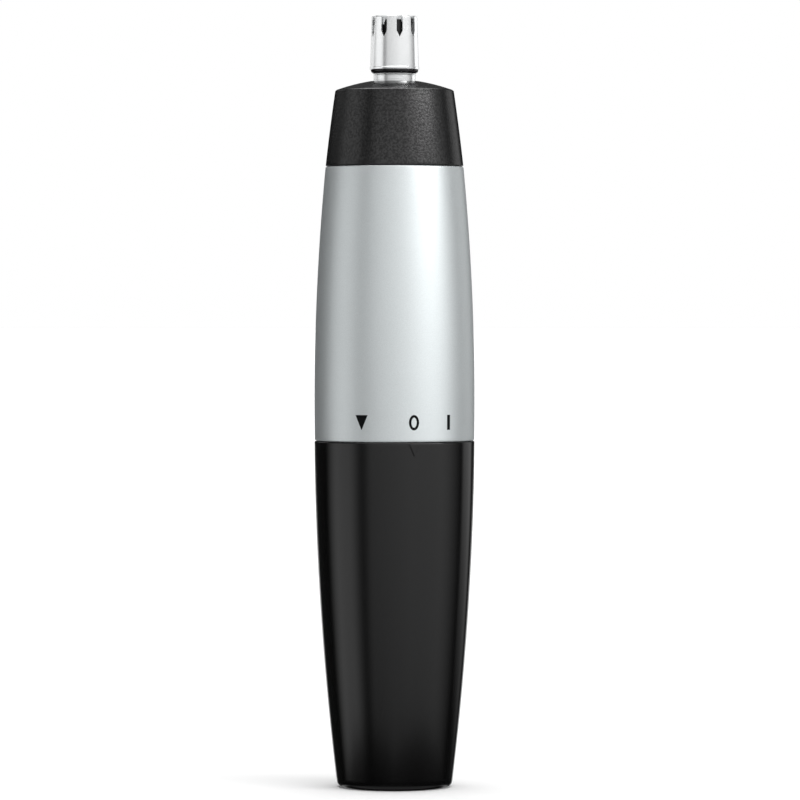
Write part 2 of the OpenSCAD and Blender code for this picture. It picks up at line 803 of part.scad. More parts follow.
module blade_carrier() {
    bore = stem_square + 0.06;
    color("#141414") difference() {
        union() {
            disc(carrier_r, carrier_low_z, blade_plate_z);
            disc(1.2, carrier_low_z, blade_top_z - 0.02);
        }
        translate([-bore / 2, -bore / 2, carrier_low_z - 1])
            cube([bore, bore, carrier_bore_l + 1]);
        // flutes that leave room for cut hair
        for (i = [0 : blade_count - 1])
            rotate([0, 0, front + blade_turn + (i + 0.5) * 360 / blade_count])
                translate([carrier_r + 0.15, 0, 0])
                disc(flute_r, carrier_low_z - 1, blade_plate_z + 1);
    }
}

module inner_cutter() {
    side_r = cutter_side(blade_top_z) - cutter_wall - blade_gap;
    gap_top_z = blade_top_z + 0.1;
    color("#aeb2b5") difference() {
        rotate_extrude() polygon([
            [1.22, blade_plate_z], [side_r - blade_t, blade_plate_z],
            [side_r - blade_t, tooth_low_z], [side_r, tooth_low_z],
            [side_r, blade_top_z], [1.22, blade_top_z]
        ]);
        // gaps that leave pointed teeth round the plate
        for (i = [0 : blade_count - 1])
            facing(front + blade_turn + (i + 0.5) * 360 / blade_count, side_r - blade_t - 0.4, 5)
                polygon([[-tooth_gap_low_w, tooth_low_z - 0.1], [-tooth_gap_high_w, gap_top_z],
                         [tooth_gap_high_w, gap_top_z], [tooth_gap_low_w, tooth_low_z - 0.1]]);
    }
}

battery_cover();
battery_spring();
negative_strip();
cell_can();
cell_button();
cell_washer();
barrel();
chassis();
contact_plate();
positive_contact();
switch_contact();
cover_o_ring();
nose_cap();
nose_screws();
head_o_ring();
shaft_seal();
motor_can();
motor_end_bell();
motor_magnets();
motor_front_bearing();
motor_rear_bearing();
motor_brushes();
motor_terminals();
motor_damper();
motor_shaft();
armature_core();
armature_coils();
commutator();
drive_coupling();
head_collar();
neck_tube();
head_bush();
outer_cutter();
head_retainer();
cutter_stem();
stem_clip();
cutter_spring();
blade_carrier();
inner_cutter();
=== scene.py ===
"""Looks of a battery nose hair trimmer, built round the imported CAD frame.

Metres, +Z up, the front is -Y. Outlines are written in millimetres, as (radius, height) from the axis.
"""

import json
import math

import bmesh
import bpy
from mathutils import Matrix, Vector


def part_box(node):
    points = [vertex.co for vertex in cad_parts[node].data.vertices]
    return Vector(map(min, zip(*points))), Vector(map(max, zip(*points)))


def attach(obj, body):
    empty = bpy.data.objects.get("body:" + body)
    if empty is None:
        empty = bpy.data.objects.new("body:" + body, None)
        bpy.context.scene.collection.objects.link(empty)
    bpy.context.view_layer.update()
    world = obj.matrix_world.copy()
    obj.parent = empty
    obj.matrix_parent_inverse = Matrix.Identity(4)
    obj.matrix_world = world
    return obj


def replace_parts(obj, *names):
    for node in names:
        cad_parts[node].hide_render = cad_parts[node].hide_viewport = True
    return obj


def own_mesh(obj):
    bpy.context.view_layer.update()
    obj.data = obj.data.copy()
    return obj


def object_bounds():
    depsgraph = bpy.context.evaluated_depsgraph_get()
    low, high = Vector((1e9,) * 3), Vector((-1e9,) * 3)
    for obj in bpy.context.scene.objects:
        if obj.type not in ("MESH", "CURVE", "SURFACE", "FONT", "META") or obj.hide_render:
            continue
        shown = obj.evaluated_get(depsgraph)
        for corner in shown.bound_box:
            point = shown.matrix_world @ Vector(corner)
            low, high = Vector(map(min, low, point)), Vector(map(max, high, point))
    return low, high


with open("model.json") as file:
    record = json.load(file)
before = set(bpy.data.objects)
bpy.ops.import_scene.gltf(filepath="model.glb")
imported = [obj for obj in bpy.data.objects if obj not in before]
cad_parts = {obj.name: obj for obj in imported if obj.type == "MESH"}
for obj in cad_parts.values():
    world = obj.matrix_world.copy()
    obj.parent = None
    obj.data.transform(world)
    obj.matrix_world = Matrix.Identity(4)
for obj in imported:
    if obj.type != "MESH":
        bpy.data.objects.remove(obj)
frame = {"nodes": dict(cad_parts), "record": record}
cad_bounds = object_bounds()

MM = 0.001
SEGMENTS = 224
FRONT = -90.0
SHARP_ANGLE = 28.0

# The design's own sizes that the looks repeat, in millimetres and degrees.
COVER_WIDE_Z, COVER_ARC_R = 61.9, 504.0
BARREL_WIDE_Z, BARREL_ARC_R = 65.3, 413.0
COVER_WALL, BARREL_WALL = 1.5, 1.4
COVER_FLOOR, COVER_BORE_R, COVER_BORE_L = 1.8, 11.6, 11.7
FOOT_ROUND = 1.0
EDGE_ROUND = 0.2
NOSE_HOLE_R, BARREL_LIP = 8.63, 1.5
COLLAR_LOW_R, COLLAR_HIGH_R, COLLAR_EDGE_Z, COLLAR_SWELL = 11.62, 9.98, 117.5, 0.06
COLLAR_EDGE_ROUND, CROWN_R = 0.28, 4.3
COLLAR_BORE_R, COLLAR_STEP, CAVITY_R = 8.7, 7.6, 8.0
NECK_R, NECK_FLARE_R, NECK_BORE_R = 3.54, 3.64, 3.2
FLANGE_R, FLANGE_T, FLANGE_SEAT_R = 4.7, 0.6, 5.2
BUSH_BORE_R, BUSH_POCKET_R, BUSH_POCKET_Z = 1.65, 2.75, 118.0
CUTTER_LOW_R, CUTTER_HIGH_R, CUTTER_WALL, CUTTER_LIP = 4.1, 3.84, 0.35, 0.07
SLOT_COUNT, SLOT_W, SLOT_TURN, SLOT_REACH_R = 9, 1.04, 13.0, 2.3
SLOT_TIP_DROP, SLOT_SHOULDER_DROP = 3.65, 2.6
OPEN_TURN, OFF_TURN, ON_TURN = -24.0, 14.0, 42.0
POINTER_W, POINTER_H, POINTER_RISE = 1.9, 2.05, 0.16
MARK_LOW, MARK_H = 2.02, 2.5
# How much lower than the CAD's the neck ends, so that more of the black ring shows.
RING_DROP = 0.17


def low_z(node):
    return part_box(node)[0].z / MM


def high_z(node):
    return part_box(node)[1].z / MM


MAX_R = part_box("barrel")[1].x / MM
COVER_TOP = high_z("battery_cover")
BARREL_LOW, BARREL_TOP = low_z("barrel"), high_z("barrel")
COLLAR_LOW, COLLAR_CROWN = low_z("head_collar"), high_z("head_collar")
NECK_LOW, NECK_TOP = low_z("neck_tube"), high_z("neck_tube") - RING_DROP
CUTTER_LOW, TIP = low_z("outer_cutter"), high_z("outer_cutter")
BUSH_LOW, BUSH_TOP = low_z("head_bush"), high_z("head_bush")


# ---------- outlines ----------

def arc_side(z, wide_z, radius):
    """Radius at height z of a side that follows an arc and is MAX_R wide at wide_z."""
    return MAX_R - radius + math.sqrt(radius * radius - (z - wide_z) ** 2)


def cover_side(z):
    return arc_side(z, COVER_WIDE_Z, COVER_ARC_R)


def barrel_side(z):
    return arc_side(z, BARREL_WIDE_Z, BARREL_ARC_R)


def collar_side(z):
    t = (z - COLLAR_LOW) / (COLLAR_EDGE_Z - COLLAR_LOW)
    return COLLAR_LOW_R + (COLLAR_HIGH_R - COLLAR_LOW_R) * t + 4 * COLLAR_SWELL * t * (1 - t)


def cutter_side(z):
    t = (z - CUTTER_LOW) / (TIP - CUTTER_LOW)
    return CUTTER_LOW_R + (CUTTER_HIGH_R - CUTTER_LOW_R) * t


def steps(a, b, n):
    return [a + (b - a) * i / n for i in range(n + 1)]


def side_points(side, z0, z1, n, inset=0.0):
    return [(side(z) - inset, z) for z in steps(z0, z1, n)]


def rounded(outline, arc_steps=5):
    """A closed outline whose corners written (r, z, round) are turned into arcs."""
    made = []
    count = len(outline)
    for i, point in enumerate(outline):
        here = Vector(point[:2])
        if len(point) == 2:
            made.append(tuple(here))
            continue
        before = (Vector(outline[i - 1][:2]) - here).normalized()
        after = (Vector(outline[(i + 1) % count][:2]) - here).normalized()
        half = before.angle(after) / 2
        centre = here + (before + after).normalized() * point[2] / math.sin(half)
        start = here + before * point[2] / math.tan(half) - centre
        turn = start.angle_signed(here + after * point[2] / math.tan(half) - centre)
        for t in steps(0, -turn, arc_steps):
            made.append(tuple(centre + Matrix.Rotation(t, 2) @ start))
    return made


# ---------- mesh building ----------

def to_object(bm, name, sharp=SHARP_ANGLE):
    bmesh.ops.recalc_face_normals(bm, faces=bm.faces)
    mesh = bpy.data.meshes.new(name)
    bm.to_mesh(mesh)
    bm.free()
    return smooth(add_object(name, mesh), sharp)


def add_object(name, mesh):
    made = bpy.data.objects.new(name, mesh)
    bpy.context.scene.collection.objects.link(made)
    return made


def smooth(piece, sharp=SHARP_ANGLE):
    piece.data.shade_smooth()
    piece.data.set_sharp_from_angle(angle=math.radians(sharp))
    return piece


def lathe(name, outline, segments=SEGMENTS):
    """The closed outline turned round the axis."""
    bm = bmesh.new()
    rings = []
    for r, z in outline:
        count = segments if r > 1e-6 else 1
        turns = [2 * math.pi * i / count for i in range(count)]
        rings.append([bm.verts.new((r * MM * math.cos(a), r * MM * math.sin(a), z * MM)) for a in turns])
    for low, high in zip(rings, rings[1:] + rings[:1]):
        if len(low) == 1 and len(high) == 1:
            continue
        for i in range(segments):
            j = i + 1
            corners = [low[i % len(low)], low[j % len(low)], high[j % len(high)], high[i % len(high)]]
            bm.faces.new(list(dict.fromkeys(corners)))
    return to_object(bm, name)


def grid_slab(bm, rows, place, low, high, left_drop=0.0, edge_drop=0.0, closed=False):
    """A thin closed solid over a grid of flat points, from height low to height high.

    place(point, height) puts a flat point on the curved surface. The top's first column lies lower by
    left_drop and its other outermost points by edge_drop. A closed grid's columns join up in a ring.
    """
    last = len(rows) - 1
    width = len(rows[0])

    def drop(i, j):
        if closed:
            return 0.0
        if j == 0:
            return left_drop
        return edge_drop if i in (0, last) or j == width - 1 else 0.0

    top = [
        [bm.verts.new(place(p, high - drop(i, j))) for j, p in enumerate(row)]
        for i, row in enumerate(rows)
    ]
    under = [[bm.verts.new(place(p, low)) for p in row] for row in rows]
    columns = range(width) if closed else range(width - 1)
    for i in range(last):
        for j in columns:
            k = (j + 1) % width
            for sheet in (top, under):
                bm.faces.new((sheet[i][j], sheet[i][k], sheet[i + 1][k], sheet[i + 1][j]))
    for i in (0, last):
        for j in columns:
            k = (j + 1) % width
            bm.faces.new((top[i][j], top[i][k], under[i][k], under[i][j]))
    if not closed:
        for j in (0, width - 1):
            for i in range(last):
                bm.faces.new((top[i][j], top[i + 1][j], under[i + 1][j], under[i][j]))


def on_side(side, azimuth):
    """Wraps a flat point (across, height) on a turned side, about an azimuth in degrees."""
    def place(point, rise):
        radius = side(point[1])
        turn = math.radians(azimuth) + point[0] / radius
        return Vector(((radius + rise) * math.cos(turn), (radius + rise) * math.sin(turn), point[1])) * MM
    return place


def prism(bm, outline, azimuth, r0, r1):
    """A flat outline in (across, height) pushed out along an azimuth from r0 to r1."""
    turn = Matrix.Rotation(math.radians(azimuth), 4, "Z")
    ends = [[bm.verts.new(turn @ Vector((r, a, z)) * MM) for a, z in outline] for r in (r0, r1)]
    for end in ends:
        bm.faces.new(end)
    for i in range(len(outline)):
        j = (i + 1) % len(outline)
        bm.faces.new((ends[0][i], ends[0][j], ends[1][j], ends[1][i]))


def applied(piece):
    """Turns the piece's modifiers into its own mesh."""
    graph = bpy.context.evaluated_depsgraph_get()
    mesh = bpy.data.meshes.new_from_object(piece.evaluated_get(graph))
    piece.modifiers.clear()
    piece.data = mesh
    return piece


def cut(piece, cutter):
    modifier = piece.modifiers.new("cut", "BOOLEAN")
    modifier.operation = "DIFFERENCE"
    modifier.solver = "EXACT"
    modifier.object = cutter
    applied(piece)
    bpy.data.objects.remove(cutter)
    return piece


def bevel_edges(piece, width, segments=2, angle=40.0):
    modifier = piece.modifiers.new("bevel", "BEVEL")
    modifier.width = width * MM
    modifier.segments = segments
    modifier.limit_method = "ANGLE"
    modifier.angle_limit = math.radians(angle)
    modifier.use_clamp_overlap = True
    weigh = piece.modifiers.new("weigh", "WEIGHTED_NORMAL")
    weigh.keep_sharp = True
    return applied(smooth(piece, 60))


# ---------- node trees ----------

class Graph:
    """A node tree, with short calls for the nodes used here."""

    def add(self, kind, **settings):
        node = self.tree.nodes.new(kind)
        for key, value in settings.items():
            setattr(node, key, value)
        return node

    def link(self, source, target):
        self.tree.links.new(source, target)

    def math(self, operation, a, b=0.0):
        node = self.add("ShaderNodeMath", operation=operation)
        for socket, value in zip(node.inputs, (a, b)):
            if isinstance(value, (int, float)):
                socket.default_value = value
            else:
                self.link(value, socket)
        return node.outputs[0]

    def ramp(self, value, start, end, low=0.0, high=1.0, kind="SMOOTHSTEP"):
        """Goes from low to high as value goes from start to end, and stays level outside them."""
        node = self.add("ShaderNodeMapRange", interpolation_type=kind)
        self.link(value, node.inputs["Value"])
        limits = {"From Min": start, "From Max": end, "To Min": low, "To Max": high}
        for name, number in limits.items():
            node.inputs[name].default_value = number
        return node.outputs["Result"]


class Nodes(Graph):
    """A material's nodes. Lengths are in millimetres."""

    def __init__(self, name, color, roughness, metallic=0.0, coat=0.0, coat_roughness=0.1, ior=1.48):
        self.material = bpy.data.materials.new(name)
        self.material.use_nodes = True
        self.tree = self.material.node_tree
        self.shader = self.tree.nodes["Principled BSDF"]
        self.set("Base Color", (*color, 1))
        self.set("Roughness", roughness)
        self.set("Metallic", metallic)
        self.set("Coat Weight", coat)
        self.set("Coat Roughness", coat_roughness)
        self.set("IOR", ior)
        self.color = color
        self.place = self.add("ShaderNodeTexCoord").outputs["Object"]

    def set(self, socket, value):
        self.shader.inputs[socket].default_value = value

    def spread(self, value, low, high, from_low=0.0, from_high=1.0):
        """Maps value from one range to another, clamped."""
        return self.ramp(value, from_low, from_high, low, high, "LINEAR")

    def noise(self, size, detail=3.0, stretch=(1, 1, 1)):
        """Noise with features about size across, drawn out along an axis by a stretch above 1."""
        mapping = self.add("ShaderNodeMapping")
        mapping.inputs["Scale"].default_value = [1 / s for s in stretch]
        self.link(self.place, mapping.inputs["Vector"])
        node = self.add("ShaderNodeTexNoise")
        node.inputs["Scale"].default_value = 1 / (size * MM)
        node.inputs["Detail"].default_value = detail
        self.link(mapping.outputs[0], node.inputs["Vector"])
        return node.outputs["Fac"]

    def cells(self, size):
        """A random grey for each small cell."""
        node = self.add("ShaderNodeTexVoronoi")
        node.inputs["Scale"].default_value = 1 / (size * MM)
        self.link(self.place, node.inputs["Vector"])
        split = self.add("ShaderNodeSeparateColor")
        self.link(node.outputs["Color"], split.inputs[0])
        return split.outputs[0]

    def tone(self, factor, low, high):
        """Multiplies the base colour by a factor map, from low to high."""
        amount = self.spread(factor, low, high)
        mix = self.add("ShaderNodeVectorMath", operation="SCALE")
        base = self.shader.inputs["Base Color"]
        if base.is_linked:
            self.link(base.links[0].from_socket, mix.inputs[0])
        else:
            mix.inputs[0].default_value = self.color
        self.link(amount, mix.inputs["Scale"])
        self.link(mix.outputs[0], base)

    def gloss(self, factor, low, high):
        """Roughness that follows a factor map, from low to high."""
        self.link(self.spread(factor, low, high), self.shader.inputs["Roughness"])

    def bump(self, factor, depth):
        """Raises the surface by depth where the factor is 1."""
        node = self.add("ShaderNodeBump")
        node.inputs["Strength"].default_value = 1.0
        node.inputs["Distance"].default_value = depth * MM
        self.link(factor, node.inputs["Height"])
        normal = self.shader.inputs["Normal"]
        if normal.is_linked:
            self.link(normal.links[0].from_socket, node.inputs["Normal"])
        self.link(node.outputs[0], normal)


def satin_black(name):
    """Moulded black plastic with a soft gloss: faint flow marks and fine dust of scratches."""
    m = Nodes(name, (0.0012, 0.0012, 0.0013), 0.15, ior=1.5)
    flow = m.noise(2.2, 2, (1, 1, 6))
    m.gloss(flow, 0.1, 0.13)
    m.tone(m.noise(6, 3), 0.8, 1.25)
    m.bump(m.noise(0.35, 2), 0.0004)
    m.bump(m.noise(5, 1, (1, 1, 3)), 0.0015)
    return m.material


def sparked_black(name):
    """Dark plastic with a fine spark-eroded grain."""
    m = Nodes(name, (0.0045, 0.0046, 0.0048), 0.22, ior=1.5)
    grain = m.noise(0.34, 1)
    m.bump(grain, 0.016)
    m.link(m.spread(grain, 0.36, 0.7, 0.36, 0.64), m.shader.inputs["Specular IOR Level"])
    m.gloss(m.noise(0.5, 2), 0.2, 0.25)
    m.tone(grain, 0.7, 1.3)
    return m.material


def silver_paint(name):
    """Satin silver paint: metal flakes under a thin clear coat."""
    m = Nodes(name, (0.76, 0.805, 0.815), 0.42, metallic=0.84, coat=0.2, coat_roughness=0.2)
    flakes = m.cells(0.055)
    m.tone(flakes, 0.94, 1.06)
    m.tone(m.noise(9, 2), 0.985, 1.015)
    m.gloss(m.noise(0.12, 2), 0.38, 0.46)
    m.bump(flakes, 0.0006)
    m.bump(m.noise(0.8, 2), 0.0006)
    return m.material


def mark_ink(name):
    m = Nodes(name, (0.002, 0.002, 0.0025), 0.5)
    m.set("Specular IOR Level", 0.12)
    m.gloss(m.noise(0.1, 2), 0.34, 0.46)
    m.bump(m.noise(0.08, 2), 0.001)
    return m.material


def plated(name, color=(0.8, 0.81, 0.815), roughness=0.18):
    """Satin plating over a turned surface: fine rings and the odd softer patch."""
    m = Nodes(name, color, roughness, metallic=0.75)
    m.bump(m.noise(0.05, 2, (60, 60, 1)), 0.0004)
    m.gloss(m.noise(0.7, 3), roughness * 0.85, roughness * 1.2)
    m.tone(m.noise(2.5, 2), 0.97, 1.02)
    return m.material


def ground_steel(name, color=(0.72, 0.73, 0.74)):
    """Ground blade steel, with fine lines round the axis."""
    m = Nodes(name, color, 0.24, metallic=1.0)
    m.bump(m.noise(0.06, 3, (30, 30, 1)), 0.0015)
    m.gloss(m.noise(0.3, 3), 0.18, 0.32)
    m.tone(m.noise(0.8, 3), 0.9, 1.04)
    return m.material


def zinc_steel(name):
    """Zinc-plated sheet steel with a soft, slightly clouded look."""
    m = Nodes(name, (0.62, 0.635, 0.64), 0.3, metallic=1.0)
    m.bump(m.noise(0.25, 4), 0.002)
    m.gloss(m.noise(1.4, 4), 0.24, 0.4)
    m.tone(m.noise(2.0, 4), 0.86, 1.06)
    return m.material


def wire_steel(name):
    m = Nodes(name, (0.66, 0.66, 0.65), 0.24, metallic=1.0)
    m.gloss(m.noise(0.3, 3), 0.18, 0.34)
    m.tone(m.noise(0.5, 3), 0.82, 1.05)
    return m.material


def warm_metal(name, color, roughness, grain=0.3):
    """Brass, bronze or copper, darker in patches where it has tarnished."""
    m = Nodes(name, color, roughness, metallic=1.0)
    m.bump(m.noise(grain, 4), 0.002)
    m.gloss(m.noise(0.9, 4), roughness * 0.8, roughness * 1.4)
    m.tone(m.noise(1.6, 4), 0.74, 1.08)
    return m.material


def pale_plastic(name):
    """Unpainted moulded plastic, slightly waxy."""
    m = Nodes(name, (0.76, 0.745, 0.69), 0.42, ior=1.48)
    m.set("Subsurface Weight", 0.12)
    m.set("Subsurface Radius", (0.6 * MM, 0.5 * MM, 0.4 * MM))
    m.bump(m.noise(0.3, 3), 0.003)
    m.gloss(m.noise(1.5, 3), 0.36, 0.5)
    m.tone(m.noise(4, 3), 0.95, 1.02)
    return m.material


def dark_plastic(name, color=(0.007, 0.007, 0.008), roughness=0.42):
    m = Nodes(name, color, roughness)
    m.bump(m.noise(0.2, 3), 0.003)
    m.gloss(m.noise(1.2, 3), roughness * 0.85, roughness * 1.2)
    m.tone(m.noise(1.5, 3), 0.8, 1.2)
    return m.material


def black_rubber(name):
    m = Nodes(name, (0.014, 0.014, 0.015), 0.55)
    m.bump(m.noise(0.12, 4), 0.004)
    m.gloss(m.noise(0.6, 3), 0.46, 0.64)
    m.tone(m.noise(0.9, 3), 0.75, 1.25)
    return m.material


def sintered(name):
    m = Nodes(name, (0.06, 0.06, 0.065), 0.6)
    m.bump(m.noise(0.09, 4), 0.006)
    m.tone(m.cells(0.12), 0.75, 1.2)
    m.gloss(m.noise(0.4, 3), 0.5, 0.7)
    return m.material


def card(name):
    m = Nodes(name, (0.68, 0.66, 0.6), 0.8)
    m.bump(m.noise(0.1, 4, (3, 1, 1)), 0.008)
    m.tone(m.noise(0.3, 4, (3, 1, 1)), 0.88, 1.05)
    return m.material


def cell_film(name):
    """The battery's plain printed sleeve."""
    m = Nodes(name, (0.05, 0.09, 0.19), 0.25, metallic=0.4, coat=0.5)
    m.bump(m.noise(1.2, 2, (1, 1, 5)), 0.004)
    m.gloss(m.noise(2.0, 3), 0.2, 0.32)
    m.tone(m.noise(5, 2), 0.9, 1.08)
    return m.material


MATERIALS = {
    "cover_black": satin_black("cover_black"),
    "collar_black": sparked_black("collar_black"),
    "barrel_silver": silver_paint("barrel_silver"),
    "natural_plastic": pale_plastic("natural_plastic"),
    "dark_plastic": dark_plastic("dark_plastic"),
    "bush_black": dark_plastic("bush_black", (0.006, 0.006, 0.007), 0.16),
    "chrome_tip": plated("chrome_tip"),
    "blade_steel": ground_steel("blade_steel"),
    "spring_steel": wire_steel("spring_steel"),
    "plated_steel": zinc_steel("plated_steel"),
    "contact_brass": warm_metal("contact_brass", (0.72, 0.55, 0.27), 0.28),
    "bearing_bronze": warm_metal("bearing_bronze", (0.5, 0.34, 0.18), 0.42, 0.12),
    "rotor_copper": warm_metal("rotor_copper", (0.72, 0.33, 0.16), 0.3, 0.2),
    "core_steel": ground_steel("core_steel", (0.3, 0.31, 0.33)),
    "ferrite": sintered("ferrite"),
    "seal_rubber": black_rubber("seal_rubber"),
    "cell_wrap": cell_film("cell_wrap"),
    "cell_card": card("cell_card"),
}
MARK_INK = mark_ink("mark_ink")


def dress(piece, slot, material=None):
    piece.data.materials.clear()
    piece.data.materials.append(material or MATERIALS[slot])
    return piece


def stand_for(piece, node, body):
    """A detailed piece that takes a CAD node's place, in that node's finish."""
    slots = {s["node"]: s["material_slot"] for s in frame["record"]["subparts"]}
    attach(dress(piece, slots[node]), body)
    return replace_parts(piece, node)


def dress_cad_nodes():
    for row in frame["record"]["subparts"]:
        piece = frame["nodes"][row["node"]]
        piece.data.materials.clear()
        piece.data.materials.append(MATERIALS[row["material_slot"]])


# ---------- the body ----------

def cover_shell():
    outline = rounded(
        [(0, 0), (cover_side(0), 0, FOOT_ROUND)]
        + side_points(cover_side, 1.6, COVER_TOP - 0.5, 60)
        + [(cover_side(COVER_TOP), COVER_TOP, EDGE_ROUND), (COVER_BORE_R, COVER_TOP, 0.15)]
        + [(COVER_BORE_R, COVER_TOP - COVER_BORE_L)]
        + side_points(cover_side, COVER_TOP - COVER_BORE_L - 1, COVER_FLOOR + 1, 24, COVER_WALL)
        + [(cover_side(COVER_FLOOR) - COVER_WALL, COVER_FLOOR, 0.4), (0, COVER_FLOOR)],
        arc_steps=8,
    )
    shell = lathe("cover_shell", outline)
    return stand_for(shell, "battery_cover", "cover")


def cover_pointer():
    """The raised triangle under the joint line that points at the marks, with a broad bevel on its left."""
    top = COVER_TOP - EDGE_ROUND
    bevel_w = 0.2
    # the triangle's point is cut blunt by this height
    blunt = 0.12
    rows = []
    for z in steps(top - POINTER_H, top, 20):
        half = POINTER_W / 2 * (z - top + POINTER_H + blunt) / (POINTER_H + blunt)
        inner = min(-half + bevel_w, half * 0.5)
        rows.append([(-half, z)] + [(inner + (half - inner) * t, z) for t in (0, 0.3, 0.6, 0.93, 1)])
    bm = bmesh.new()
    place = on_side(cover_side, FRONT + OFF_TURN)
    grid_slab(bm, rows, place, -0.3, POINTER_RISE, left_drop=POINTER_RISE + 0.01, edge_drop=0.02)
    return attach(dress(to_object(bm, "cover_pointer"), "cover_black"), "cover")


def barrel_shell():
    outline = rounded(
        [(barrel_side(BARREL_LOW), BARREL_LOW, EDGE_ROUND)]
        + side_points(barrel_side, BARREL_LOW + 0.5, BARREL_TOP - 0.5, 72)
        + [(barrel_side(BARREL_TOP), BARREL_TOP, EDGE_ROUND)]
        + [(NOSE_HOLE_R, BARREL_TOP, 0.15), (NOSE_HOLE_R, BARREL_TOP - BARREL_LIP)]
        + side_points(barrel_side, BARREL_TOP - BARREL_LIP, BARREL_LOW, 30, BARREL_WALL),
        arc_steps=6,
    )
    return stand_for(lathe("barrel_shell", outline), "barrel", "handle")


def position_marks():
    """The three printed marks above the joint line: open, off and on."""
    ink, sunk = 0.012, 0.02
    triangle_half_w, bar_half_w = 1.09, 0.32
    ring_w, ring_h = 0.66, 1.06
    ring_stroke_w, ring_stroke_h = 0.21, 0.22
    z0 = BARREL_LOW + MARK_LOW
    middle = z0 + MARK_H / 2
    bm = bmesh.new()
    # a triangle that points down
    rows = [[(triangle_half_w * (z - z0 + 0.02) / MARK_H * k, z) for k in (-1, -0.5, 0, 0.5, 1)]
            for z in steps(z0, z0 + MARK_H, 8)]
    grid_slab(bm, rows, on_side(barrel_side, FRONT + OPEN_TURN), -sunk, ink)
    # an upright ring
    turns = [2 * math.pi * i / 48 for i in range(48)]
    rows = [[(a * math.sin(t), middle + b * math.cos(t)) for t in turns]
            for a, b in [(ring_w + ring_stroke_w * k, ring_h + ring_stroke_h * k) for k in (-1, 0, 1)]]
    grid_slab(bm, rows, on_side(barrel_side, FRONT + OFF_TURN), -sunk, ink, closed=True)
    # an upright bar
    rows = [[(bar_half_w * k, z) for k in (-1, 0, 1)] for z in steps(z0, z0 + MARK_H, 4)]
    grid_slab(bm, rows, on_side(barrel_side, FRONT + ON_TURN), -sunk, ink)
    marks = to_object(bm, "position_marks")
    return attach(dress(marks, "barrel_silver", MARK_INK), "handle")


# ---------- the head ----------

def collar_dome():
    """From the collar's edge to its crown, steeper at the edge."""
    start_r = collar_side(COLLAR_EDGE_Z) - COLLAR_EDGE_ROUND * 0.72
    start_z = COLLAR_EDGE_Z + 0.06
    points = []
    for t in steps(0, 1, 20):
        rise = 1 - (1 - t) * (1 - 0.35 * t)
        points.append((start_r + (CROWN_R - start_r) * t, start_z + (COLLAR_CROWN - start_z) * rise))
    return points


def head_collar():
    side = side_points(collar_side, COLLAR_LOW + 0.5, COLLAR_EDGE_Z - COLLAR_EDGE_ROUND, 32)
    edge_c = Vector((side[-1][0] - COLLAR_EDGE_ROUND, side[-1][1]))
    edge = [tuple(edge_c + COLLAR_EDGE_ROUND * Vector((math.cos(math.radians(a)), math.sin(math.radians(a)))))
            for a in steps(12, 70, 6)]
    step = BARREL_TOP + COLLAR_STEP + 0.1
    cavity_top = COLLAR_EDGE_Z - 1.6
    flange_top = NECK_LOW + FLANGE_T
    outline = rounded(
        [(COLLAR_BORE_R, COLLAR_LOW, 0.2), (COLLAR_LOW_R - 1.1, COLLAR_LOW)]
        + [(collar_side(COLLAR_LOW), COLLAR_LOW, 0.15)]
        + side + edge + collar_dome()
        + [(NECK_R, COLLAR_CROWN, 0.1), (NECK_R, flange_top), (FLANGE_SEAT_R, flange_top)]
        + [(FLANGE_SEAT_R, cavity_top), (CAVITY_R, cavity_top), (CAVITY_R, step), (COLLAR_BORE_R, step)]
    )
    return stand_for(lathe("collar_shell", outline), "head_collar", "head")


def neck_tube():
    line_w, line_d = 0.1, 0.06
    flange_top = NECK_LOW + FLANGE_T
    flare_low = NECK_TOP - 0.3
    outline = [
        (NECK_BORE_R, NECK_LOW), (FLANGE_R, NECK_LOW), (FLANGE_R, flange_top), (NECK_R, flange_top),
    ]
    # two fine turned lines
    for z in (COLLAR_CROWN + 0.3, flare_low - 0.08):
        outline += [
            (NECK_R, z - line_w / 2), (NECK_R - line_d, z - line_w / 4),
            (NECK_R - line_d, z + line_w / 4), (NECK_R, z + line_w / 2),
        ]
    # a small flare that curves out
    outline += [
        (NECK_R + (NECK_FLARE_R - NECK_R) * t * t, flare_low + (NECK_TOP - 0.06 - flare_low) * t)
        for t in steps(0, 1, 8)
    ]
    outline += [(NECK_FLARE_R, NECK_TOP), (NECK_BORE_R, NECK_TOP)]
    return stand_for(lathe("neck_sleeve", outline), "neck_tube", "head")


def head_bush():
    """The bush: its stem in the neck, the black ring that shows, and its plug in the outer cutter."""
    ring_low = NECK_TOP + 0.05
    ring_r = CUTTER_LOW_R - 0.12
    plug_r = CUTTER_LOW_R - CUTTER_WALL - 0.01
    outline = rounded([
        (BUSH_BORE_R, BUSH_LOW), (NECK_BORE_R, BUSH_LOW),
        (NECK_BORE_R, ring_low), (NECK_FLARE_R - 0.03, ring_low),
        (NECK_FLARE_R + 0.21, NECK_TOP + 0.19, 0.2), (ring_r, NECK_TOP + 0.41, 0.1),
        (ring_r, CUTTER_LOW, 0.03), (plug_r, CUTTER_LOW), (plug_r - 0.03, BUSH_TOP, 0.1),
        (BUSH_POCKET_R, BUSH_TOP, 0.1), (BUSH_POCKET_R, BUSH_POCKET_Z), (BUSH_BORE_R, BUSH_POCKET_Z),
    ])
    return stand_for(lathe("bush_ring", outline), "head_bush", "head")


